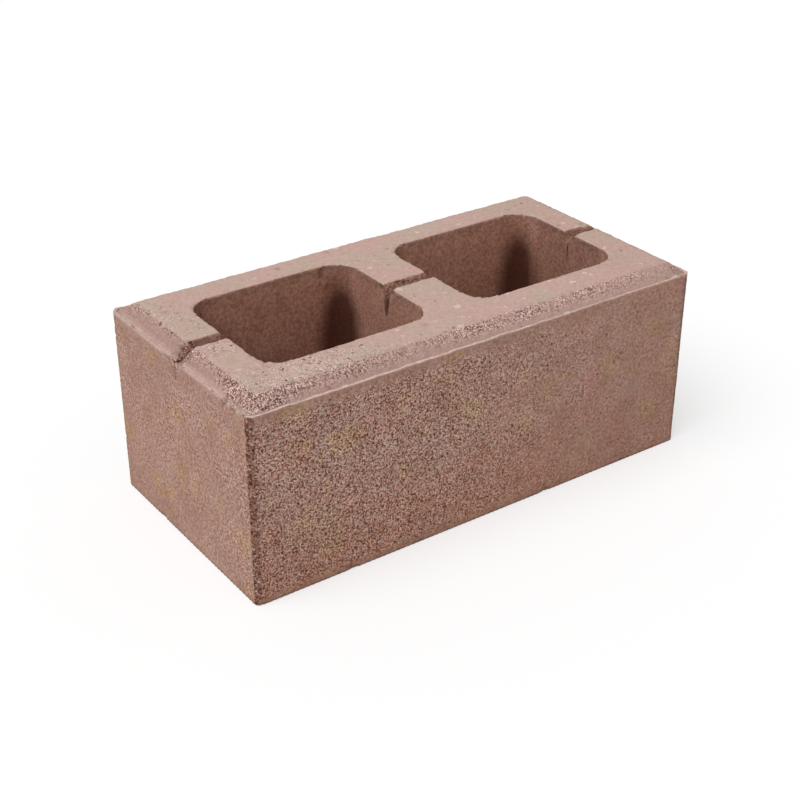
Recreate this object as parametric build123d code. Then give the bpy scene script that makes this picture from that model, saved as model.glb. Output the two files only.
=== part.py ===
from build123d import *
import math
import os

# Hollow concrete fence block, lying on its bed face.
# Millimetres. X runs along the length, Y through the wall, Z up.
# The origin is the centre of the underside.

# Overall sizes
block_length = 400.0
block_width = 200.0
block_height = 160.0

# Flat cut on the four upright corners
upright_bevel = 3.5

# Shoulder round the top: a slope from the rim up to the flat bed,
# with a thin lip of squeezed-up concrete left standing at the rim
bed_setback = 13.5
shoulder_drop = 10.5
lip_width = 2.0
lip_height = 1.7

# Two cores, wider at the top so that the core boxes could be drawn upward
end_wall = 40.0
centre_web = 40.0
face_shell = 40.0
core_corner_radius = 20.0
core_taper = 1.5

# Groove left along the top of the webs by the bar that carried the core boxes,
# a blade that thins downward
groove_width = 10.5
groove_tip_width = 1.5
groove_depth = 25.0

# How far every cutter runs on past the face that it cuts
cut_overrun = 4.0

# Levels and places that follow from the sizes
foot_level = block_height - shoulder_drop
groove_floor = block_height - groove_depth
groove_slope = (groove_width - groove_tip_width) / 2 / groove_depth
core_length = (block_length - centre_web) / 2 - end_wall
core_width = block_width - 2 * face_shell
core_centre = (centre_web + core_length) / 2
core_slope = core_taper / block_height


def bevelled_outline(inset):
    """Plan outline of the block drawn in by an inset, with its corners cut off."""
    plan = Rectangle(block_length - 2 * inset, block_width - 2 * inset)
    return chamfer(plan.vertices(), upright_bevel)


def shoulder_profile(span):
    """Side view of the shoulder: a trapezium from the foot of the slope up to the bed."""
    foot_half = span / 2 - lip_width
    bed_half = span / 2 - bed_setback
    corners = [
        (-foot_half, foot_level),
        (foot_half, foot_level),
        (bed_half, block_height),
        (-bed_half, block_height),
    ]
    return make_face(Polyline(*corners, close=True))


# Body up to the foot of the slope, and the lip that stands on its rim
outer_plan = bevelled_outline(0)
inner_plan = bevelled_outline(lip_width)
body = extrude(outer_plan, foot_level)
lip = Pos(0, 0, foot_level) * extrude(outer_plan - inner_plan, lip_height)

# Shoulder: the lengthways and crossways slopes meet in mitres at the corners
long_slopes = extrude(Plane.XZ * shoulder_profile(block_length), block_width / 2, both=True)
cross_slopes = extrude(Plane.YZ * shoulder_profile(block_width), block_length / 2, both=True)
shoulder_plan = Pos(0, 0, foot_level) * extrude(inner_plan, shoulder_drop)
shoulder = long_slopes & cross_slopes & shoulder_plan
block = body + lip + shoulder

# Core box: a rounded rectangle drawn downward with tapering walls
core_top_growth = core_slope * cut_overrun
core_plan = RectangleRounded(
    core_length + 2 * core_top_growth,
    core_width + 2 * core_top_growth,
    core_corner_radius + core_top_growth,
)
core_angle = math.degrees(math.atan(core_slope))
core_reach = block_height + 2 * cut_overrun
core_box = extrude(core_plan, core_reach, dir=(0, 0, -1), taper=core_angle)
core_box = Pos(0, 0, block_height + cut_overrun) * core_box

# Groove blade: widest above the bed, thin at its tip, and longer than the block
blade_top = block_height + cut_overrun
blade_half = groove_width / 2 + groove_slope * cut_overrun
blade_front = make_face(
    Polyline(
        (-blade_half, blade_top),
        (blade_half, blade_top),
        (groove_tip_width / 2, groove_floor),
        (-groove_tip_width / 2, groove_floor),
        close=True,
    )
)
blade = extrude(Plane.YZ * blade_front, block_length / 2 + cut_overrun, both=True)

# Both cores, and the groove that joins them to the two ends
left_core = Pos(-core_centre, 0, 0) * core_box
right_core = Pos(core_centre, 0, 0) * core_box
fence_block = block - left_core - right_core - blade

os.makedirs("parts", exist_ok=True)
export_step(fence_block, "parts/fence_block.step")

box = fence_block.bounding_box()
print("solids", len(fence_block.solids()), "valid", fence_block.is_valid)
print("size", box.size, "low", box.min)
print("volume", fence_block.volume)
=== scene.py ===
# %% [markdown]
# # A pressed concrete fence block
# The real block is one piece of coloured concrete, pressed in a steel mould and lifted out while green.
# This lesson starts from the measured solid, cuts its skin into small cells, and then wears that skin
# the way handling and a rough mould do. Last comes the concrete itself, as a procedural material.

# %% Load the measured block
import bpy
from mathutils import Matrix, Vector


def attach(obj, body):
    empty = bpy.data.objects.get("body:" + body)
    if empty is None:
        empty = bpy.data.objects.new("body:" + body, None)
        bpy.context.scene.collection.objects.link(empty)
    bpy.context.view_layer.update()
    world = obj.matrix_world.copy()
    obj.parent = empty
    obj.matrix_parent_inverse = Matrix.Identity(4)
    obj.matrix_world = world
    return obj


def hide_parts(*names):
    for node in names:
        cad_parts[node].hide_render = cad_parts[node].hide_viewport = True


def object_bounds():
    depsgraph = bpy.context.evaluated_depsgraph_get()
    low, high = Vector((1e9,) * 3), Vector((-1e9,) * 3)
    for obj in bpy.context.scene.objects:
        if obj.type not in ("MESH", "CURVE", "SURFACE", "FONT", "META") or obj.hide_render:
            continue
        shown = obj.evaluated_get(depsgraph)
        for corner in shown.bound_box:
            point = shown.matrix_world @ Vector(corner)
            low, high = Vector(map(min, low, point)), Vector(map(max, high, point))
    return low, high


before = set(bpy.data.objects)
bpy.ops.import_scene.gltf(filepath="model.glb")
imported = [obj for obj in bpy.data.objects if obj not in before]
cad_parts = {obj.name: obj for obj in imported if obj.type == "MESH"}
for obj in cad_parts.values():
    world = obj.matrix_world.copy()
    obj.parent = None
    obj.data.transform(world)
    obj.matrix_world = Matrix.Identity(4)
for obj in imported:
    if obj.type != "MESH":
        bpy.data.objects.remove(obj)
cad_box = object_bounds()
print("measured box", [round(v, 4) for corner in cad_box for v in corner])

# %% [markdown]
# ## Tools
# Blender measures in metres and a mason in millimetres, so one value turns the second into the first. Nearly
# everything on worn concrete fades in and out, so the other tool is a soft step. A hard limit is shorter to
# write, but it would draw a line across the block that no mould leaves.

# %% Tools that the later cells use
import math
import bpy
import bmesh
from mathutils import Vector, noise

mm = 0.001
scene = bpy.context.scene
scene.view_settings.view_transform = "Standard"


def ease(low, high, value):
    """0 below low, 1 above high, and a soft step between them; it also runs downward."""
    share = min(1.0, max(0.0, (value - low) / (high - low)))
    return share * share * (3 - 2 * share)


print("soft step at the middle", ease(0, 2, 1))

# %% [markdown]
# ## Camera
# The block is seen from its front left corner, a little from above. Its long edges run together only slowly,
# which means a long lens from about a metre and a quarter. A camera can be aimed at a target object, but here
# the place and the turn were worked out once from the block's own corners, so they are plain numbers.

# %% Camera
lens_length = 67.193
camera_place = Vector((-0.60287, -0.84215, 0.63155))
look_down, look_aside = 29.0649, -35.2463
camera_data = bpy.data.cameras.new("camera")
camera_data.sensor_width = 36.0
camera_data.lens = lens_length
camera_data.clip_start = 0.01
camera = bpy.data.objects.new("camera", camera_data)
camera.location = camera_place
camera.rotation_euler = (math.radians(90 - look_down), 0, math.radians(look_aside))
scene.collection.objects.link(camera)
scene.camera = camera
print("camera stands", round(camera_place.length, 3), "m from the block's foot")

# %% [markdown]
# ## Nodes by name
# The paper, the sky and the concrete are all node trees. A node added by hand takes four or five lines each
# time, so three helpers do it instead: one feeds a socket, one adds any node and feeds its sockets by name,
# and one adds a single sum.

# %% Helpers for nodes
def feed(tree, socket, value):
    """Links a socket to another one, or sets it to a plain value."""
    if isinstance(value, bpy.types.NodeSocket):
        tree.links.new(value, socket)
    else:
        socket.default_value = value


def put(tree, kind, settings=None, **sockets):
    """Adds a node, sets it up, and feeds its sockets by name."""
    made = tree.nodes.new(kind)
    for name, value in (settings or {}).items():
        setattr(made, name, value)
    for name, value in sockets.items():
        feed(tree, made.inputs[name.replace("_", " ")], value)
    return made


def reckon(tree, operation, first, second, clamp=False):
    """One sum between two values, each a number or a socket."""
    made = put(tree, "ShaderNodeMath", {"operation": operation, "use_clamp": clamp})
    for socket, value in zip(made.inputs, (first, second)):
        feed(tree, socket, value)
    return made.outputs[0]


print("helpers", [helper.__name__ for helper in (feed, put, reckon)])

# %% [markdown]
# ## Floor and light
# A wide sheet of white paper and a broad soft light from above, a little to the left, give the bright bed,
# the middle-toned end and the darker long side. The paper is white to the camera only. To the light it is a
# mid grey, or it would throw so much light back that the long side went flat. More light on the whole scene
# would whiten the paper too, but it would bleach the block, so the Light Path node tells the rays apart.

# %% White paper
def light_path_mix(tree, seen, unseen, target):
    """Shows one shader to the camera, in mirrors and through glass, and another to every other ray."""
    ray = put(tree, "ShaderNodeLightPath").outputs
    mirrored = reckon(tree, "MAXIMUM", ray["Is Glossy Ray"], ray["Is Transmission Ray"])
    mix = put(tree, "ShaderNodeMixShader")
    feed(tree, mix.inputs[0], reckon(tree, "MAXIMUM", ray["Is Camera Ray"], mirrored))
    feed(tree, mix.inputs[1], unseen)
    feed(tree, mix.inputs[2], seen)
    feed(tree, target, mix.outputs[0])


paper_tone, paper_shine = (0.50, 0.50, 0.50, 1), 0.52
paper_thrown_back = (0.32, 0.31, 0.30, 1)
paper = bpy.data.materials.new("white_paper")
paper.use_nodes = True
paper_tree = paper.node_tree
paper_tree.nodes.clear()
paper_white = put(paper_tree, "ShaderNodeBsdfDiffuse", Color=paper_tone)
paper_glow = put(paper_tree, "ShaderNodeEmission", Strength=paper_shine)
paper_seen = put(paper_tree, "ShaderNodeAddShader")
feed(paper_tree, paper_seen.inputs[0], paper_white.outputs[0])
feed(paper_tree, paper_seen.inputs[1], paper_glow.outputs[0])
paper_grey = put(paper_tree, "ShaderNodeBsdfDiffuse", Color=paper_thrown_back)
paper_out = put(paper_tree, "ShaderNodeOutputMaterial")
light_path_mix(paper_tree, paper_seen.outputs[0], paper_grey.outputs[0], paper_out.inputs["Surface"])
print("paper has", len(paper_tree.nodes), "nodes")

# %% [markdown]
# The floor is one large flat face. A curved backdrop would hide its far edge, but the sky behind it is just
# as white, so the edge can't be seen anyway.

# %% Floor
floor_half = 6.0
floor_bm = bmesh.new()
bmesh.ops.create_grid(floor_bm, x_segments=1, y_segments=1, size=floor_half)
floor_mesh = bpy.data.meshes.new("floor")
floor_bm.to_mesh(floor_mesh)
floor_bm.free()
floor_mesh.materials.append(paper)
floor = bpy.data.objects.new("floor", floor_mesh)
scene.collection.objects.link(floor)
print("floor is", floor.dimensions.x, "m wide")

# %% [markdown]
# The sky fills the shadows evenly. Like the paper, it is white only to the eye, and what it sheds on the
# block is a plain mid grey.

# %% Sky
sky_white, sky_grey = (1, 1, 1, 1), (0.46, 0.46, 0.46, 1)
sky = bpy.data.worlds.new("studio_sky")
sky.use_nodes = True
scene.world = sky
sky_tree = sky.node_tree
sky_tree.nodes.clear()
sky_seen = put(sky_tree, "ShaderNodeBackground", Color=sky_white)
sky_light = put(sky_tree, "ShaderNodeBackground", Color=sky_grey)
sky_out = put(sky_tree, "ShaderNodeOutputWorld")
light_path_mix(sky_tree, sky_seen.outputs[0], sky_light.outputs[0], sky_out.inputs["Surface"])
print("sky has", len(sky_tree.nodes), "nodes")

# %% [markdown]
# The key light is one sun with a very wide disc, which blurs its shadow as a large soft box would. An area
# lamp would do as well, but its light falls off over the block's length.

# %% Key light
key_strength, key_disc = 1.9, 50
key_from = Vector((-0.50, -0.11, 0.86)).normalized()
key_light = bpy.data.lights.new("broad_key", "SUN")
key_light.energy = key_strength
key_light.angle = math.radians(key_disc)
key_lamp = bpy.data.objects.new("broad_key", key_light)
key_lamp.rotation_euler = key_from.to_track_quat("Z", "Y").to_euler()
scene.collection.objects.link(key_lamp)
print("key light comes down at", round(math.degrees(math.asin(key_from.z))), "degrees")

# %% [markdown]
# ## The skin of the block
# The measured solid arrives as long loose triangles. They are welded, flat neighbours are dissolved into
# whole faces, and then planes slice those faces into cells a few millimetres wide. A remesh would do it in
# one go, but it rounds off the thin lip at the rim, so slicing is the better knife here.

# %% Weld the measured solid and make whole faces
weld_distance = 0.002 * mm
flat_angle = math.radians(0.6)
skin = bmesh.new()
skin.from_mesh(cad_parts["fence_block"].data)
bmesh.ops.remove_doubles(skin, verts=skin.verts, dist=weld_distance)
bmesh.ops.dissolve_limit(
    skin,
    angle_limit=flat_angle,
    use_dissolve_boundaries=False,
    verts=skin.verts,
    edges=skin.edges,
)


def open_edges():
    """How many edges of the skin don't join exactly two faces."""
    return sum(len(edge.link_faces) != 2 for edge in skin.edges)


print("whole faces", len(skin.faces), "open edges", open_edges())

# %% [markdown]
# Later steps ask where the rim, the bed, the cores and the groove lie. The overall sizes come from the
# measured box, and the smaller ones are the mould's own: walls of 40 mm, a sloped shoulder with a thin lip at
# its foot, and a narrow groove. They could be read off the mesh, but a named size says what it is.

# %% Sizes to steer by
block_length, block_width, block_height = (cad_box[1][i] - cad_box[0][i] for i in range(3))
half_length, half_width = block_length / 2, block_width / 2
bed_setback = 13.5 * mm
lip_width = 2.0 * mm
lip_foot = block_height - 10.5 * mm
rim_level = block_height - 8.8 * mm
corner_cut = 3.5 * mm
wall = 40 * mm
core_outer = half_length - wall
core_inner = wall / 2
core_side = half_width - wall
groove_half = 5.25 * mm
groove_tip = block_height - 25.0 * mm
print("cores measure", round((core_outer - core_inner) / mm), "by", round(2 * core_side / mm), "mm")

# %% [markdown]
# Each whole face gets the name of the job it does on the block: bed, shoulder, lip, long side, end, cut
# corner, core wall, groove or underside. Cells inherit the name when they are cut, so the later steps can
# treat a core wall, which the steel core box polished, unlike the loose shoulder above the rim.

# %% Name the whole faces
BED, SHOULDER, LIP, LONG, END, CORNER, CORE, GROOVE, UNDER = range(9)
outer_band = 6 * mm
region = skin.faces.layers.int.new("region")


def job_of(face):
    """Which part of the block a whole face belongs to, from its place and its direction."""
    facing, middle = face.normal, face.calc_center_median()
    if facing.z < -0.9:
        return UNDER
    if abs(facing.x) < 0.3 and abs(middle.y) < groove_half + 0.2 * mm:
        return GROOVE
    if facing.z > 0.9:
        return BED if middle.z > block_height - mm else LIP
    if facing.z > 0.3:
        return SHOULDER
    near_end = abs(middle.x) > half_length - outer_band
    near_long = abs(middle.y) > half_width - outer_band
    if not near_end and not near_long:
        return CORE
    if facing.x * middle.x + facing.y * middle.y < 0:
        return LIP
    if near_end and near_long:
        return CORNER
    return END if near_end else LONG


skin.normal_update()
for face in skin.faces:
    face[region] = job_of(face)
print("faces per job", [sum(face[region] == job for face in skin.faces) for job in range(9)])

# %% [markdown]
# Some slices fall on the block's own lines, so that no cell straddles an arris. Between those lines they are
# spread evenly. One even grid would be simpler, but it would leave slivers beside every line that it missed.

# %% Slice the faces into cells
cell = 4.4 * mm
snap = 0.01 * mm


def slice_along(axis, places):
    """Cuts the whole skin at each place along one axis."""
    normal = Vector((0, 0, 0))
    normal[axis] = 1
    for place in places:
        everything = list(skin.verts) + list(skin.edges) + list(skin.faces)
        bmesh.ops.bisect_plane(skin, geom=everything, dist=snap, plane_co=normal * place, plane_no=normal)


def steps(stations, size):
    """Cutting places at every inner station and evenly between the stations, about one size apart."""
    places = []
    for low, high in zip(stations, stations[1:]):
        count = max(1, round((high - low) / size))
        places += [low + (high - low) * i / count for i in range(count)]
    return places[1:]


def both_ways(half, *distances):
    """The block's two faces and the same stations on both sides of the middle."""
    stations = [half, half - corner_cut, half - bed_setback, *distances]
    return sorted(stations + [-station for station in stations])


slice_along(0, steps(both_ways(half_length, core_outer, core_inner), cell))
slice_along(1, steps(both_ways(half_width, core_side, groove_half), cell))
slice_along(2, steps([0, groove_tip, lip_foot, rim_level, block_height], cell))
print("cells", len(skin.faces), "corners", len(skin.verts))

# %% [markdown]
# The eye rests on the outside, the bed and the upper part of the cores, so those cells are divided once more.
# The deep core walls and the underside stay coarse. Fine cells everywhere would look no better and would
# make the mesh several times heavier.

# %% Finer cells where the eye goes
def divide(faces):
    """Cuts every edge of the given cells in half and fills them with smaller cells."""
    edges = list(dict.fromkeys(edge for face in faces for edge in face.edges))
    bmesh.ops.subdivide_edges(skin, edges=edges, cuts=1, use_grid_fill=True)


def shows(face):
    """True for the outside, the bed and the upper part of the cores."""
    upper_core = face[region] == CORE and face.calc_center_median().z > groove_tip
    return upper_core or face[region] not in (CORE, UNDER)


divide([face for face in skin.faces if shows(face)])
print("cells", len(skin.faces))

# %% [markdown]
# The rim, the cut corners and the mouths of cores and groove are divided once again, because there the worn
# outline itself shows against the light ground or the dark core.

# %% Finest cells along the worn outline
rim_band, mouth_band, mouth_reach = 3.5 * mm, 2.5 * mm, 2.2 * mm
groove_end_band, groove_top_band = 22 * mm, 10 * mm


def near_mouth(point, reach):
    """True close to the edge of a core's mouth or of the groove."""
    x, y = abs(point.x), abs(point.y)
    over_core = core_inner - reach < x < core_outer + reach and y < core_side + reach
    deep_in_core = core_inner + reach < x < core_outer - reach and y < core_side - reach
    in_groove = y < groove_half + reach and (x < core_inner or x > core_outer)
    return (over_core and not deep_in_core) or in_groove


def on_outline(face):
    """True along the rim, the cut corners and the mouths of cores and groove."""
    job, middle = face[region], face.calc_center_median()
    below_bed = block_height - middle.z
    rim = job in (LONG, END) and middle.z > rim_level - rim_band
    mouth = job in (BED, CORE) and below_bed < mouth_band and near_mouth(middle, mouth_reach)
    at_groove_edge = abs(middle.x) > half_length - groove_end_band or below_bed < groove_top_band
    return rim or mouth or (job == GROOVE and at_groove_edge) or job in (LIP, CORNER)


divide([face for face in skin.faces if on_outline(face)])
print("cells", len(skin.faces))

# %% [markdown]
# At the left end the bar tore a ragged hole as it left the mould, so the cells round it are divided too. Each
# division leaves corners halfway along the edges of its coarser neighbours. Where such a corner joins only
# two edges it holds nothing, and it is dissolved.

# %% Finest cells where the bar tore out
torn_middle, torn_reach = Vector((-192, 0, 155)) * mm, 12 * mm


def round_torn_end(face):
    """True for the cells of bed and shoulder that lie round the left end of the groove."""
    return face[region] in (SHOULDER, BED) and (face.calc_center_median() - torn_middle).length < torn_reach


def triangles():
    """How many triangles the skin's cells come to."""
    return sum(len(face.verts) - 2 for face in skin.faces)


divide([face for face in skin.faces if round_torn_end(face)])
idle = [vert for vert in skin.verts if len(vert.link_edges) == 2]
bmesh.ops.dissolve_verts(skin, verts=idle)
print("cells", len(skin.faces), "triangles", triangles(), "idle corners dissolved", len(idle))

# %% [markdown]
# ## Wear
# Concrete has no knife edges. The arrises are softened first, most along the top of the shoulder, where the
# press head drags on loose grains. A bevel would cut a clean new face there. Smoothing the corners of the
# cells leaves no such line. The thin lip is left alone, or it would melt away.

# %% Soften the arrises
def verts_on_arris(first, second):
    """Corners of cells that lie between two jobs."""
    found = []
    for vert in skin.verts:
        jobs = {face[region] for face in vert.link_faces}
        if first in jobs and second in jobs and LIP not in jobs:
            found.append(vert)
    return found


def ring_around(verts):
    """The given corners and their direct neighbours, without the lip."""
    grown = dict.fromkeys(verts)
    for vert in verts:
        grown.update(dict.fromkeys(edge.other_vert(vert) for edge in vert.link_edges))
    return [vert for vert in grown if all(face[region] != LIP for face in vert.link_faces)]


softening = (
    (BED, SHOULDER, 5, "broad"), (BED, CORE, 2, "narrow"), (BED, GROOVE, 2, "narrow"),
    (CORE, GROOVE, 5, "broad"), (LONG, CORNER, 1, "narrow"), (LONG, UNDER, 1, "narrow"),
    (END, UNDER, 1, "narrow"), (SHOULDER, GROOVE, 2, "narrow"),
)
for first, second, rounds, width in softening:
    band = verts_on_arris(first, second)
    if width == "broad":
        band = ring_around(band)
    for _ in range(rounds):
        bmesh.ops.smooth_vert(skin, verts=band, factor=0.5, use_axis_x=True, use_axis_y=True, use_axis_z=True)
print("shoulder edge has", len(verts_on_arris(BED, SHOULDER)), "corners")

# %% [markdown]
# Two places on the block are rougher than the rest. At the left end of the groove the bar tore the green
# concrete, and parts of the bed were left loose under the press head. Each place is a small function that
# fades from 1 to 0, so shape and colour can both ask it. A painted picture would need a layout for each face.

# %% Where the concrete was torn or left loose
def ripple(point, width):
    """A smooth random wave between about -1 and 1, so many millimetres wide."""
    return noise.noise(point / (width * mm))


def bar_exit(point):
    """1 at the left end of the groove, where the bar tore the green concrete, and 0 away from it."""
    start, along = Vector((-186, 2, 157)), Vector((-10, -3.5, -6))
    way = point / mm - start
    share = min(1.0, max(0.0, way.dot(along) / along.length_squared))
    return ease(8.5, 2.5, (way - along * share).length)


def loose_bed(x, y):
    """1 at the bed's loose front left and beside the groove, less along the left rim, and 0 elsewhere."""
    front_left = ease(60, 14, math.hypot((x + 137) * 0.7, (y + 77) * 1.5))
    beside_groove = ease(20, 6, math.hypot(x + 172, y + 15))
    beside_rim = 0.4 * ease(24, 8, math.hypot(x + 178, (y - 42) * 0.4))
    return max(front_left, beside_groove, beside_rim)


print("loose bed at the front left and at the right", [round(loose_bed(x, -77), 2) for x in (-137, 137)])

# %% [markdown]
# The mould was filled more loosely towards one end, so the long sides are thick with tiny voids there and
# closed at the other end. A strip under the lip and another above the foot are always closed, because the
# fines run to the steel. One function says how thickly the voids lie. It works in millimetres, and where the
# shoulder lies further out than `end_shoulder`, it belongs to an end of the block.

# %% How thickly the voids lie
end_shoulder = 186


def void_share(job, point):
    """From 0, closed skin, to 1, thick with tiny voids."""
    x, y, z = point / mm
    clump = ripple(point, 26)
    torn = bar_exit(point)
    if job == LONG:
        closed_strips = ease(1, 11, z) * ease(149, 137, z)
        return max(0.05, (1.0 - 0.84 * ease(-60, 130, x) + 0.30 * clump) * closed_strips)
    if job == END:
        closed_strips = ease(1, 9, z) * (0.35 + 0.65 * ease(149, 112, z))
        towards_corner = ease(-10, -95, y if x < 0 else -y)
        share = (0.25 + 0.21 * towards_corner + 0.42 * clump) * closed_strips
        return min(1.0, max(0.05, share) + 0.7 * torn)
    if job == SHOULDER:
        row = 0.54 - 0.34 * ease(40, 160, x)
        if abs(x) >= end_shoulder:
            row = 0.20 + 0.50 * ease(156, 159, z) + 0.30 * ease(0, -25, y)
        loose_corner = ease(40, 12, math.hypot(x + 190, y + 92))
        share = ease(151.5, 155, z) * (row + 0.6 * clump) + 0.85 * loose_corner
        return min(1.0, max(0.03, share) + torn)
    if job == BED:
        edge = (ease(83, 88, abs(y)) + ease(183, 187, abs(x))) * (1 - 0.5 * ease(40, 160, x))
        share = 0.14 * clump + 0.42 * edge + 0.7 * loose_bed(x, y)
        return min(0.9, max(0.05, share) + 0.6 * torn)
    if job == GROOVE:
        return min(1.0, 0.12 + 0.34 * ease(149, 153, z) * ease(60, 40, abs(x)) + torn)
    return {CORNER: 0.95, CORE: 0.04}.get(job, 0.3)


middles = [Vector((x, -100, 80)) * mm for x in (-180, 180)]
print("voids at the two ends of a long side", [round(void_share(LONG, middle), 2) for middle in middles])

# %% [markdown]
# Now every corner of a cell is moved a little along its own direction: slow waves from the mould plates,
# grain at the size of coarse sand, and pits where the voids lie thickly. A Displace modifier could do one of
# these at a time, but here each job on the block takes its own heights. The underside only moves inward, so
# that the block still stands flat.

# %% Waves, grain and pits, in millimetres
grain_height = {BED: 0.08, SHOULDER: 0.26, LIP: 0.14, CORNER: 0.14, GROOVE: 0.38}
pit_depth = {SHOULDER: 0.7, LIP: 0.3, LONG: 0.25, END: 0.35, CORE: 0.25, GROOVE: 0.8}
lump_height = {BED: 0.12, SHOULDER: 0.28}
skin.normal_update()
recess_shade_at = {}
for vert in skin.verts:
    jobs = [face[region] for face in vert.link_faces]
    # A corner that several jobs share counts as lip, or else as shoulder, or else as the first of them
    job = min(jobs, key=lambda j: (jobs.count(j) < len(jobs), j != LIP, j != SHOULDER))
    point = vert.co.copy()
    share = void_share(job, point)
    waves = 0.20 * ripple(point, 60) + 0.10 * ripple(point, 19) + lump_height.get(job, 0.0) * ripple(point, 7)
    grain = ripple(point, 2.4) + 0.7 * ripple(point, 5.5)
    near, spots = noise.voronoi(point / (4.0 * mm))
    chosen = noise.cell(spots[0] * 7.3) * 0.5 + 0.5 < 0.25 + 0.6 * share
    pit = max(0.0, 1 - near[0] / 0.42) * share if chosen else 0.0
    torn = bar_exit(point) * (0.35 + ripple(point, 3.0) + 0.7 * ripple(point, 1.3))
    grain_move = grain_height.get(job, 0.10) * (0.45 + 0.75 * share) * grain
    move = waves + grain_move - 1.6 * pit_depth.get(job, 0.4) * pit - 1.5 * torn
    if UNDER in jobs:
        vert.co += Vector((0, 0, 1)) * abs(move) * 0.5 * mm
    else:
        vert.co += vert.normal * move * mm
    # The sunken share is painted shade: pits, sunken grain and the torn place get a darker colour, less on
    # the long sides and ends
    seen_depth = 0.35 if job in (LONG, END) else 1.0
    sunk = pit * 1.3 + max(0.0, -grain) * 0.35 * share
    recess_shade_at[vert] = min(1.0, seen_depth * sunk + 0.9 * max(0.0, torn))
print("deepest pit share", round(max(recess_shade_at.values()), 2))

# %% [markdown]
# The core boxes and the bar drag grains out of the edges as they are drawn. So the arrises round the mouths
# and along the top of the shoulder lose small crumbs here and there, and each loss is painted with shade,
# like a pit.

# %% Crumbled arrises round the mouths
for vert in verts_on_arris(BED, CORE) + verts_on_arris(BED, GROOVE) + verts_on_arris(BED, SHOULDER):
    crumb = 1.2 * max(0.0, ripple(vert.co, 2.3)) + 1.6 * max(0.0, ripple(vert.co, 8) - 0.15)
    vert.co -= vert.normal * crumb * mm
    recess_shade_at[vert] = max(recess_shade_at[vert], 0.35 * crumb)
print("mouth of the cores has", len(verts_on_arris(BED, CORE)), "corners")

# %% [markdown]
# A few chips and pits are large enough to be known one by one, and so are some pebbles that stand up from the
# bed. They could be scattered by chance, but a viewer who knows this block would miss them in their places,
# so each one is written down: its place, its reach and its depth. A pebble has a depth below zero.

# %% Chips, single pits and pebbles, in millimetres
chips = [
    # The lip of the left end, the left mouth of the groove, and the torn places under it
    ((-200, -68, 151), 5.5, 2.6), ((-200, -81, 151), 5.0, 2.2), ((-200, -92, 151), 3.0, 1.2),
    ((-199, 66, 151), 2.5, 0.9), ((-199, 8, 151), 6.0, 0.9), ((-196, 6, 153), 5.0, 1.4),
    ((-191, 7, 156), 4.0, 1.2), ((-192, -7, 156), 4.0, 1.2), ((-200, 1.5, 143), 3.0, 1.4),
    ((-200, 4.5, 137.5), 2.6, 1.3), ((-200, 1.6, 132.5), 2.6, 1.2),
    # The front
    ((-71, -100, 24.6), 3.0, 1.3), ((-61, -100, 21.4), 2.8, 1.3), ((-66, -100, 19.8), 2.2, 1.0),
    ((-20, -100, 38), 2.4, 1.1), ((132.5, -100, 100.4), 2.4, 1.3), ((128.6, -100, 97.6), 2.0, 1.0),
    ((124.7, -100, 95), 2.6, 1.3), ((73.6, -100, 38.5), 2.2, 1.0), ((-64, -100, 139.4), 2.6, 1.1),
    # The left part of the bed, and the top of the left core's back wall
    ((-153, -68.4, 160), 3.4, 1.1), ((-156, -86, 160), 3.6, 1.3), ((-134.5, -67, 160), 2.2, 0.8),
    ((-180, -24, 160), 3.0, 0.9), ((-176.6, 57, 160), 2.6, 0.8), ((-188.7, 35.5, 160), 3.0, 1.0),
    ((-40.1, 59.8, 155.5), 3.0, 1.6), ((-39.8, 59.8, 151.5), 3.0, 1.6),
    # The rim and the foot all round, and the two far sides
    ((192, -97, 151), 4.0, 1.0), ((60, -100, 0), 5.0, 1.0), ((-120, -100, 0), 5.0, 0.9),
    ((-200, 40, 0), 5.0, 0.9), ((140, 100, 151), 5.0, 1.6), ((-30, 100, 151), 4.5, 1.4),
    ((200, 52, 151), 5.0, 1.8), ((200, -30, 151), 4.0, 1.4), ((90, 100, 60), 3.0, 1.2),
    ((200, 20, 80), 2.6, 1.1),
    # The groove in the webs, one more pit in the left core, and the right mouth of the groove
    ((-20, -6, 160), 5.0, 1.6), ((160, -6, 160), 5.0, 1.6), ((-6, 5, 158), 3.0, 1.0),
    ((0, 5, 157), 3.0, 1.2), ((-20, 6.5, 157), 2.4, 1.4), ((-35, 59.8, 141), 2.8, 1.4),
    ((200, 2, 152), 6.0, 1.6), ((-24, 5, 159), 3.0, 0.9),
    # Pebbles and pits in the bed
    ((2.5, -29.4, 160), 2.4, -0.7), ((2.5, -59, 160), 4.4, -0.9), ((-5.5, -74.4, 160), 3.4, -0.7),
    ((-26, -69, 160), 3.4, -0.8), ((-34, -68, 160), 2.6, 1.0), ((-56, -65, 160), 3.0, -0.7),
    ((169.5, 18, 160), 3.2, -0.9), ((168.5, 32.5, 160), 2.2, 0.8), ((181.5, 9, 160), 2.6, 1.0),
    ((-170, 50.5, 160), 2.6, 1.0), ((-168, 33, 160), 2.4, 0.8), ((-142, -71.5, 160), 2.0, 0.9),
    ((-133, -71, 160), 2.2, 0.9), ((60, 72, 160), 3.0, -0.7), ((-70, 76, 160), 2.8, 0.9),
    ((120, -72, 160), 3.2, -0.7),
]
print("chips", sum(depth > 0 for _, _, depth in chips), "pebbles", sum(depth < 0 for _, _, depth in chips))

# %% [markdown]
# Each chip pushes the corners within its reach inward, most at its heart, with a ragged edge from a fine
# ripple. A boolean cut would leave a clean bowl. A pebble is the same push turned outward.

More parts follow.
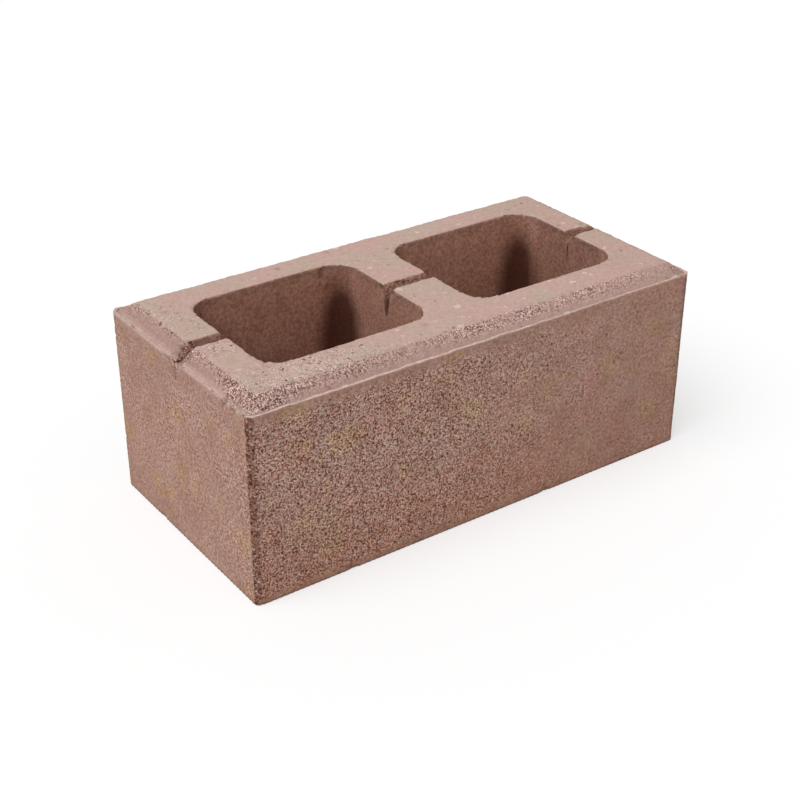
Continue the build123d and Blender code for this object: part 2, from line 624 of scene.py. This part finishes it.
# %% Strike the chips and raise the pebbles
pebble_at = {}
skin.normal_update()
for place, reach, depth in chips:
    heart = Vector(place) * mm
    struck = [vert for vert in skin.verts if (vert.co - heart).length < reach * mm]
    for vert in struck:
        away = (vert.co - heart).length / (reach * mm)
        bite = (1 - away * away) * (0.75 + 0.5 * ripple(vert.co, 1.7))
        vert.co -= vert.normal * depth * bite * mm
        # A chip's bowl is painted with shade
        if depth > 0:
            recess_shade_at[vert] = max(recess_shade_at[vert], 0.85 * max(0.0, bite))
        else:
            pebble_at[vert] = min(1.0, 1.6 * max(0.0, bite))
print("corners on pebbles", len(pebble_at))

# %% [markdown]
# The lip is paste that was squeezed up between the press head and the mould wall, so its height wanders. At
# the left end it is missing beside the groove, and at the far left corner it stands tallest. The measured lip
# is even, so each corner on it is let down or drawn up to the share of its height that is kept.

# %% Uneven lip
def corners_of(job):
    """The corners of all cells that do one job."""
    return {vert for face in skin.faces if face[region] == job for vert in face.verts}


for vert in corners_of(LIP):
    point = vert.co
    height = point.z - lip_foot
    if height > 0.3 * mm:
        keep = 0.72 + 0.55 * ripple(point, 11) + 0.3 * ripple(point, 3.1)
        keep += 0.7 * ease(14, 4, math.hypot(point.x / mm + 199, point.y / mm - 97))
        if point.x < -half_length + 6 * mm:
            keep -= 1.1 * ease(15, 9, abs(point.y / mm - 4))
        point.z = lip_foot + height * max(0.05, min(1.4, keep))
print("lip corners", len(corners_of(LIP)))

# %% [markdown]
# The groove was left by a thin bar. Where the bar left the mould, crumbs fell back into the cut, so the lower
# part of the groove is closed at both ends, and on the right web it is pinched further. Crumbs as pieces of
# their own would be lost at this size, so the two walls of the groove are drawn together instead.

# %% Crumbs in the ends of the groove
# How far the crumbs reach in from the end, how deep they lie under the slope, and how much painted shade they
# get in the narrow slot
left_crumbs, right_crumbs = (19 * mm, 2.2 * mm, 0.25), (25 * mm, 1.4 * mm, 0.75)
for vert in corners_of(GROOVE):
    point = vert.co
    reach, depth, crumb_shade = left_crumbs if point.x < 0 else right_crumbs
    from_end = half_length - abs(point.x)
    at_end = ease(reach, reach - 8 * mm, from_end)
    slope_share = min(1.0, (from_end - lip_width) / (bed_setback - lip_width))
    slope_level = lip_foot + (block_height - lip_foot) * slope_share
    crumb_level = max(rim_level - 1.5 * mm, slope_level - depth) + 1.6 * mm * ripple(point, 4)
    filled = at_end * ease(crumb_level + 1.5 * mm, crumb_level - 1.5 * mm, point.z)
    point.y *= 1 - filled * (0.93 + 0.06 * ripple(point, 2.2))
    if point.x > core_outer - 5 * mm:
        point.y *= 1 - 0.84 * ease(block_height - 6 * mm, block_height - 10 * mm, point.z)
    # The closed lower part of the groove gets painted shade
    in_crumbs = crumb_shade * filled * ease(147 * mm, 150 * mm, point.z)
    recess_shade_at[vert] = max(recess_shade_at[vert], in_crumbs)
print("groove corners", len(corners_of(GROOVE)))

# %% [markdown]
# ## Masks
# Six masks carry what the skin knows over to the material: how thickly voids lie, where pale paste covers the
# grain and where the lip's highlight is painted, where painted shade darkens the cores and the groove, how
# much painted shade a corner gets from a pit, a chip or a crumbled edge, where dark grains and painted shade
# darken the surface, and where the mix is redder. They are stored per cell corner, so that a mask can change
# sharply at an arris.

# %% Layers for the masks
mask_names = ("voids", "paste_and_highlight", "deep_shade", "recess_shade", "grime_and_shade", "red")
masks = [skin.loops.layers.float.new(name) for name in mask_names]
skin.normal_update()
skin.verts.index_update()
print("masks", mask_names)

# %% [markdown]
# Low on the front another block has left a few pale scratches. They run along short straight lines, given in
# millimetres along and up the face, and fade out a few millimetres to each side. A stroke of mesh would stand
# proud of the face, so a scratch is only a share of paste.

# %% Scratches on the front
scratch = [(59, 29), (79, 33), (94, 42.5), (104, 42.6), (114, 56)]
scuffs = list(zip(scratch, scratch[1:])) + [((134, 63), (155, 65))]


def scuff_share(point):
    """Pale scratches low on the front, left by another block."""
    spot, best = Vector((point.x, point.z)) / mm, 0.0
    for start, end in scuffs:
        along = Vector(end) - Vector(start)
        way = spot - Vector(start)
        share = min(1.0, max(0.0, way.dot(along) / along.length_squared))
        best = max(best, ease(8.0, 1.0, (way - along * share).length))
    return best * min(0.80, 0.50 + 0.8 * ripple(point, 4))


print("scratches", len(scuffs))

# %% [markdown]
# Paste is the fine cement that closes a pressed face. It covers the bed and runs down the shoulder. A thin
# streak runs down the left end under the groove. The same mask also carries a painted highlight where the
# lip's rounded top catches the light: on the lip, on a band just below it on the ends and the long sides, and
# on the foot of the shoulder beside it. From 0.9 up the material reads the mask as the lip's light line, pale
# paste and painted highlight together.

# %% Where pale paste and the lip's painted highlight lie
def beside_lip(x, z):
    """1 at the foot of the shoulder beside the lip, where the lip's painted highlight reaches onto the slope,
    and 0 further up.
    """
    return ease(152.4, 150.6, z) if abs(x) > end_shoulder else ease(151.0, 150.0, z)


def paste_and_highlight_share(job, point, raised):
    """How much pale paste lies on the surface, with the lip's painted highlight from 0.9 up; a raised pebble
    in the bed is paler still.
    """
    x, y, z = point / mm
    if job == BED:
        arris = 0.08 * ease(159.7, 159.2, z) * ease(157.4, 158.2, z)
        return 0.85 * ease(156.8, 158.0, z) + max(arris, 0.14 * raised, 0.085 * loose_bed(x, y))
    # The lip: pale paste with a painted highlight along its top
    if job == LIP:
        return 0.93 if abs(x) > 197.5 else 0.965 - 0.03 * ease(-60, 100, x)
    if job == SHOULDER:
        return 0.72 + 0.12 * ease(153, 150, z) + 0.11 * beside_lip(x, z)
    if job == END:
        streak = ease(2.6, 0.8, abs(y + 2)) * ease(104, 110, z) * ease(136, 130, z) if x < 0 else 0.0
        # The band just under the lip is a painted highlight
        return max(0.97 * ease(147.0, 149.4, z), streak * min(0.97, 0.85 + 0.6 * ripple(point, 5)))
    if job == LONG:
        # The band just under the lip is a painted highlight; the scratches are pale paste
        return max(0.95 * ease(149.3, 150.2, z), scuff_share(point) if y < 0 else 0.0)
    return 0.0


bed_place = Vector((-20, -75, 160)) * mm
print("paste on the bed and on a raised pebble", [round(paste_and_highlight_share(BED, bed_place, up), 2) for up in (0, 1)])

# %% [markdown]
# The cores are painted darker with shade, most of all in their upright corners, where two walls shade each
# other, and more the deeper a wall goes. Painted shade also sits deep in the groove. The light alone darkens
# these places too little, so the colour itself carries the shade, as a deep red brown.

# %% Where painted shade darkens the cores and the groove
def deep_shade_share(job, point):
    """How much painted shade darkens the surface: deep in the groove, in the cores, and most in the cores'
    upright corners.
    """
    x, y, z = abs(point.x) / mm, abs(point.y) / mm, point.z / mm
    right = point.x > 0
    if job == GROOVE:
        right_web = 0.16 * ease(172, 160, x) if right and x > 100 else 0.0
        return 0.30 + right_web + 0.10 * ease(150, 165, x) + 0.46 * ease(151, 147, z)
    if job != CORE:
        return 0.0
    to_side = core_side / mm - y
    to_end = min(core_outer / mm - x, x - core_inner / mm)
    from_corner = max(0.0, max(to_side, to_end) - 6)
    # Painted shade in the cores' upright corners, deepening downward
    in_corner = ease(15 + 13 * ease(158, 92, z), 0, from_corner) * (0.16 + 0.84 * ease(160, 118, z))
    shaded_wall = (0.31 if right else 0.12) * ease(14, 4, to_end) * ease(16, 26, to_side)
    mouth = 0.13 * ease(151, 159, z)
    depth = 0.08 * ease(150, 60, z)
    return min(1.0, (0.19 if right else 0.27) + depth + mouth + shaded_wall + 0.95 * in_corner)


core_places = [Vector(p) * mm for p in ((-24, 56, 90), (-90, 59.5, 90))]
print("damp in a corner and amid a wall", [round(deep_shade_share(CORE, place), 2) for place in core_places])

# %% [markdown]
# The cut corners are rough and pitted, so their strip is darker all along, partly from its own dark grains
# and partly from painted shade in its pits, and a thin band of each long side beside them goes with it. The
# shoulder is darkened too, least at its foot, the lower half of each long side a little more towards the
# foot, and the bed a little towards its right end. The torn place at the bar's exit gets painted shade. The
# mix itself is redder in the cores, in the cut corners and towards the foot of the long sides, where it was
# packed hardest.

# %% Where grime and painted shade darken, and where the mix is redder
def grime_and_shade_share(job, point):
    """How much the surface is darkened, by dark grains and by painted shade."""
    x, y, z = point / mm
    torn = bar_exit(point)
    if job == LONG:
        beside_corner = ease(6.6, 4.8, half_length / mm - abs(x)) * ease(151, 148, z)
        return max(beside_corner, 0.20 * ease(90, 20, z))
    if job == SHOULDER:
        row = 0.45 - 0.12 * ease(-120, 60, x) if abs(x) < end_shoulder else 0.60
        loose_corner = 0.08 * ease(20, 8, math.hypot(x + 192, y + 90))
        return (row + loose_corner + 0.4 * torn) * (1 - 0.8 * beside_lip(x, z))
    # Cut corners: own dark grains and painted shade in their pits; torn groove end: painted shade; bed:
    # darker towards its right end
    return {CORNER: 1.15, GROOVE: 0.6 * torn, END: 0.10, BED: 0.10 * ease(60, 180, x)}.get(job, 0.0)


def red_share(job, point):
    """How red the mix is: in the cores, in the groove, and on the long sides most towards the foot."""
    x, y, z = point / mm
    clump = ripple(point, 45)
    if job == LONG:
        low = ease(95, 12, z) * (1 - 0.55 * ease(20, 150, x))
        return min(1.0, max(0.0, 0.22 + 0.60 * low + 0.10 * ease(120, 190, x) + 0.30 * clump))
    if job == END:
        return max(0.0, 0.05 + 0.2 * clump)
    if job == CORE:
        return 0.75 + 0.25 * ease(50, 58, y) - 0.45 * ease(151, 159, z)
    return {GROOVE: 0.4, CORNER: 0.9}.get(job, 0.0)


print("grime on a cut corner", grime_and_shade_share(CORNER, Vector((-198, -98, 80)) * mm))

# %% [markdown]
# All six values are now worked out for each corner, once for each job that meets there, and written into the
# layers. Vertex groups would be the other way, but they hold one value for all the faces round a corner.

# %% Paint the masks
painted = {}
for face in skin.faces:
    job = face[region]
    for loop in face.loops:
        vert = loop.vert
        spot = (vert.index, job)
        if spot not in painted:
            painted[spot] = (
                void_share(job, vert.co),
                paste_and_highlight_share(job, vert.co, pebble_at.get(vert, 0.0)),
                deep_shade_share(job, vert.co),
                recess_shade_at[vert],
                grime_and_shade_share(job, vert.co),
                red_share(job, vert.co),
            )
        for layer, value in zip(masks, painted[spot]):
            loop[layer] = value
print("painted", len(painted), "corners")

# %% [markdown]
# ## The finished skin
# The cells with more than four corners are cut into triangles, so that every tool reads them alike. All faces
# are shaded smooth, since the cells are small enough to carry the form. Only the outer edge of the lip on
# the long sides stays sharp, because its fine light line would blur otherwise.

# %% Hand the skin over
bmesh.ops.triangulate(skin, faces=[face for face in skin.faces if len(face.verts) > 4])
for face in skin.faces:
    face.smooth = True
for edge in skin.edges:
    jobs = {face[region] for face in edge.link_faces}
    edge.smooth = not (LIP in jobs and LONG in jobs)
print("triangles", triangles(), "open edges", open_edges())
skin_mesh = bpy.data.meshes.new("weathered_block")
skin.to_mesh(skin_mesh)
skin.free()
weathered_block = bpy.data.objects.new("weathered_block", skin_mesh)
scene.collection.objects.link(weathered_block)

# %% [markdown]
# ## Concrete
# Through-coloured concrete is a pinkish paste with sand in it. Close to, it shows soft drifts of ochre and
# rose a few centimetres wide, crumbs and dark voids about a millimetre across, and pale sand grains. Each
# void and grain is one cell of a Voronoi pattern, and a share of the cells is left empty. A group makes such
# scattered grains once, and the drifts, voids, grains and flecks all use it with their own values.

# %% Group: grains scattered over the surface
def stretch(tree, value, low, high, to_low=0.0, to_high=1.0):
    """A soft step between two values of a pattern."""
    made = put(tree, "ShaderNodeMapRange", {"interpolation_type": "SMOOTHSTEP"}, Value=value, From_Min=low,
               From_Max=high, To_Min=to_low, To_Max=to_high)
    return made.outputs[0]


def vector_sum(tree, operation, **sockets):
    """One sum on vectors."""
    return put(tree, "ShaderNodeVectorMath", {"operation": operation}, **sockets)


scatter = bpy.data.node_groups.new("scattered_grains", "ShaderNodeTree")
scatter.interface.new_socket("Vector", in_out="INPUT", socket_type="NodeSocketVector")
for name in ("Per Metre", "Share", "Size", "Raggedness"):
    scatter.interface.new_socket(name, in_out="INPUT", socket_type="NodeSocketFloat")
scatter.interface.new_socket("Mask", in_out="OUTPUT", socket_type="NodeSocketFloat")
given = put(scatter, "NodeGroupInput").outputs
spread = vector_sum(scatter, "SCALE", Vector=given["Vector"], Scale=given["Per Metre"]).outputs[0]
ragged = put(scatter, "ShaderNodeTexNoise", Vector=spread, Scale=2.4, Detail=2.0).outputs["Color"]
wobble = vector_sum(scatter, "SCALE", Vector=ragged, Scale=given["Raggedness"]).outputs[0]
shifted = vector_sum(scatter, "ADD", Vector=spread)
feed(scatter, shifted.inputs[1], wobble)
cells = put(scatter, "ShaderNodeTexVoronoi", Vector=shifted.outputs[0], Scale=1.0).outputs
lot = put(scatter, "ShaderNodeSeparateColor", Color=cells["Color"]).outputs
present = reckon(scatter, "MULTIPLY", reckon(scatter, "SUBTRACT", given["Share"], lot[0]), 6.0, clamp=True)
reach = reckon(scatter, "MULTIPLY", given["Size"], reckon(scatter, "ADD", lot[1], 0.5))
inside = reckon(scatter, "SUBTRACT", 1.0, reckon(scatter, "DIVIDE", cells["Distance"], reach), clamp=True)
grain_mask = reckon(scatter, "MULTIPLY", stretch(scatter, inside, 0.0, 0.30), present)
feed(scatter, put(scatter, "NodeGroupOutput").inputs["Mask"], grain_mask)
print("group", scatter.name, "has", len(scatter.nodes), "nodes")

# %% [markdown]
# The material reads the block's own Object coordinates and the six masks. Generated coordinates would
# stretch the grain with the block's proportions, and a UV map would cut it at every seam.

# %% Concrete: what it reads
concrete = bpy.data.materials.new("concrete")
concrete.use_nodes = True
mixer = concrete.node_tree
shader = mixer.nodes["Principled BSDF"]
place = put(mixer, "ShaderNodeTexCoord").outputs["Object"]
voids, paste_and_highlight, deep_shade, recess_shade, grime_and_shade, red = (
    put(mixer, "ShaderNodeAttribute", {"attribute_name": name}).outputs["Fac"] for name in mask_names
)
print("concrete reads", len(mask_names), "masks")

# %% [markdown]
# The next cells add and multiply masks and patterns all the time. Short names for that, and for the two kinds
# of pattern, let a line read like the recipe that it is.

# %% Concrete: words for the recipe
def times(first, second, clamp=False):
    """Two values of the concrete multiplied."""
    return reckon(mixer, "MULTIPLY", first, second, clamp)


def plus(first, second):
    """Two values of the concrete added."""
    return reckon(mixer, "ADD", first, second)


def ramp(value, low, high, to_low=0.0, to_high=1.0):
    """A soft step of one of the concrete's values."""
    return stretch(mixer, value, low, high, to_low, to_high)


def pattern(per_metre, detail, roughness=0.5):
    """A noise pattern with so many waves to the metre."""
    made = put(mixer, "ShaderNodeTexNoise", Vector=place, Scale=per_metre, Detail=detail,
               Roughness=roughness)
    return made.outputs["Fac"]


def grains(per_metre, share, size, raggedness=1.2):
    """The scattered grains group, placed once with its own values."""
    made = put(mixer, "ShaderNodeGroup", {"node_tree": scatter}, Vector=place, Per_Metre=per_metre,
               Share=share, Size=size, Raggedness=raggedness)
    return made.outputs["Mask"]


print("words", [word.__name__ for word in (times, plus, ramp, pattern, grains)])

# %% [markdown]
# The mix is never stirred quite even, so ochre and rose drift through it. The drifts could be one noise
# pattern, but on the block they are separate soft patches, which the grains group gives at a large size.
# Painted shade in the cores and the groove hides the ochre, and the redder mix shows less of it.

# %% Concrete: drifts of colour
def tint(share, low, high, mode="MIX"):
    """Mixes two colours, each a colour or a socket, by a share."""
    made = put(mixer, "ShaderNodeMix", {"data_type": "RGBA", "blend_type": mode})
    # The Mix node has sockets of the same names for each kind of value, so the colour's go by number
    for socket, value in ((made.inputs[0], share), (made.inputs[6], low), (made.inputs[7], high)):
        feed(mixer, socket, value)
    return made.outputs[2]


def shaded(below, share, factor, red_power=0.74, redness=1.0, blueness=1.0):
    """A colour made lighter or darker by a factor; dark grains turn redder and light ones greyer."""
    warm = times(reckon(mixer, "POWER", factor, red_power), redness)
    cool = times(reckon(mixer, "POWER", factor, 1.18), blueness)
    light = put(mixer, "ShaderNodeCombineColor", Red=warm, Green=factor, Blue=cool).outputs[0]
    return tint(share, below, light, "MULTIPLY")


rose, brick = (0.550, 0.328, 0.260, 1), (0.610, 0.310, 0.216, 1)
ochre, deep_rose = (0.585, 0.351, 0.218, 1), (0.60, 0.280, 0.228, 1)
colour = tint(red, rose, brick)
# Ochre shows only where no painted shade lies
outside_deep_shade = ramp(deep_shade, 0.05, 0.18, 0.75, 0.0)
ochre_share = times(outside_deep_shade, ramp(red, 0.10, 0.40, 1.32, 0.95))
colour = tint(times(grains(46, 0.45, 0.46), ochre_share), colour, ochre)
colour = tint(times(grains(35, 0.18, 0.40), 0.60), colour, deep_rose)
colour = shaded(colour, 1.0, ramp(pattern(48, 3, 0.6), 0.30, 0.70, 0.90, 1.10))
print("nodes so far", len(mixer.nodes))

# %% [markdown]
# Over the mix lies the pale paste, from rose to grey, and on the lip a painted highlight makes it lighter
# still. Then painted shade in pits and hollows, and grime with painted shade, darken what is left open. The
# order is the order on the block: what came last lies on top.

# %% Concrete: paste, highlight, painted shade and grime
pale_rose, pale_grey = (0.550, 0.366, 0.320, 1), (0.515, 0.382, 0.310, 1)
lip_paste_and_highlight = (0.735, 0.525, 0.455, 1)
recess_shade_brown, grime_and_shade_brown = (0.12, 0.050, 0.034, 1), (0.16, 0.070, 0.048, 1)
free_of_grime_and_shade = ramp(grime_and_shade, 0.12, 0.30, 1.0, 0.15)
greyer = times(ramp(pattern(30, 3), 0.42, 0.62), free_of_grime_and_shade)
colour = tint(ramp(paste_and_highlight, 0.45, 0.72), colour, tint(greyer, pale_rose, pale_grey))
# The lip's light line: pale paste with a painted highlight
colour = tint(ramp(paste_and_highlight, 0.90, 1.0), colour, lip_paste_and_highlight)
# Painted shade in pits, chips, crumbled edges and the torn place
colour = tint(times(recess_shade, 0.60), colour, recess_shade_brown)
colour = tint(times(grime_and_shade, 0.60), colour, grime_and_shade_brown)
print("nodes so far", len(mixer.nodes))

# %% [markdown]
# Fine sand shades every face, less where paste covers it. Where the voids lie thickly the skin is open, and
# there it is made of crumbs a millimetre across, each lit on top and dark in the gaps. The crumbs are
# Voronoi cells, bent by a fine noise so that no cell shows a straight side, and larger stones thin them out
# in places.

# %% Concrete: sand and crumbs
sand = pattern(390, 3, 0.6)
bare = reckon(mixer, "SUBTRACT", 1.0, paste_and_highlight, clamp=True)
contrast = plus(plus(times(bare, 0.42), times(voids, 0.05)), 0.10)
colour = shaded(colour, contrast, ramp(sand, 0.30, 0.70, 0.45, 1.58))
bend = put(mixer, "ShaderNodeTexNoise", Vector=place, Scale=900.0, Detail=1.0).outputs["Color"]
bent = vector_sum(mixer, "MULTIPLY_ADD", Vector=bend)
bent.inputs[1].default_value = (1.4 * mm, 1.4 * mm, 1.4 * mm)
feed(mixer, bent.inputs[2], place)
crumbs = put(mixer, "ShaderNodeTexVoronoi", Vector=bent.outputs[0], Scale=800.0).outputs
crumb_top = ramp(crumbs["Distance"], 0.30, 0.80, 1.0, 0.0)
crumb_lot = put(mixer, "ShaderNodeSeparateColor", Color=crumbs["Color"]).outputs[0]
stones = put(mixer, "ShaderNodeTexVoronoi", Vector=place, Scale=180.0).outputs["Distance"]
thick = times(voids, ramp(stones, 0.15, 0.60, 0.70, 1.10), clamp=True)
crumb_light = times(ramp(crumb_top, 0, 1, 0.32, 1.88), ramp(crumb_lot, 0, 1, 0.80, 1.25))
colour = shaded(
    colour,
    times(thick, ramp(paste_and_highlight, 0.80, 0.86, 1.0, 0.30)),
    crumb_light,
    red_power=ramp(paste_and_highlight, 0.40, 0.70, 0.62, 0.80),
    redness=ramp(paste_and_highlight, 0.40, 0.70, 1.115, 1.07),
    blueness=0.96,
)
print("nodes so far", len(mixer.nodes))

# %% [markdown]
# Single pale grains and single dark voids stand out from the crumbs, a few of them also on the closed skin; a
# void's darkness is painted shade inside the tiny hole. The bed has its own: pale flecks where a pebble's top
# was rubbed bare, and small dark specks. The painted shade of the cores and the groove comes last and darkens
# everything under it.

# %% Concrete: grains, voids, flecks and painted shade
sand_grain, void_shade = (0.95, 0.75, 0.65, 1), (0.095, 0.038, 0.024, 1)
bed_fleck, bed_speck = (0.76, 0.59, 0.51, 1), (0.20, 0.11, 0.085, 1)
deep_shade_dark = (0.060, 0.015, 0.007, 1)
sparse = times(times(bare, outside_deep_shade), 0.10)
pale_grain = grains(560, plus(times(thick, ramp(paste_and_highlight, 0.80, 0.86, 0.30, 0.90)), sparse), 0.45)
void = grains(430, plus(times(thick, ramp(paste_and_highlight, 0.80, 0.86, 0.26, 0.36)), sparse), 0.36)
fleck = times(grains(90, 0.62, 0.21, 0.8), times(paste_and_highlight, free_of_grime_and_shade))
speck = times(grains(115, 0.42, 0.14), paste_and_highlight)
for mask, strength, shade in (
    (pale_grain, 0.80, sand_grain),
    # Voids: painted shade inside the tiny holes
    (void, 0.90, void_shade),
    (fleck, 0.75, bed_fleck),
    (speck, 0.70, bed_speck),
    # Painted shade of the cores and the groove
    (deep_shade, 0.95, deep_shade_dark),
):
    colour = tint(times(mask, strength), colour, shade)
feed(mixer, shader.inputs["Base Color"], colour)
print("nodes so far", len(mixer.nodes))

# %% [markdown]
# Dry concrete is dull, and only the tops of sand grains shine a little. The relief of sand, crumbs, grains
# and voids is finer than the cells, so it is a bump, and everything larger is in the mesh already.

# %% Concrete: roughness and relief
feed(mixer, shader.inputs["Roughness"], ramp(sand, 0.2, 0.8, 0.97, 0.86))
shader.inputs["Specular IOR Level"].default_value = 0.18
raised = plus(times(sand, contrast), times(crumb_top, times(thick, 0.55)))
raised = plus(raised, times(plus(pale_grain, fleck), 0.50))
relief = reckon(mixer, "SUBTRACT", raised, times(plus(void, speck), 0.9))
bump = put(mixer, "ShaderNodeBump", Height=relief, Strength=0.9, Distance=0.8 * mm)
feed(mixer, shader.inputs["Normal"], bump.outputs["Normal"])
skin_mesh.materials.append(concrete)
print("concrete has", len(mixer.nodes), "nodes")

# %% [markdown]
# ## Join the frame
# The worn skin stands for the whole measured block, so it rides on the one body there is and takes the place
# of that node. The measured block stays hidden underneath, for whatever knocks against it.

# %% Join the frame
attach(weathered_block, "root")
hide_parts("fence_block")
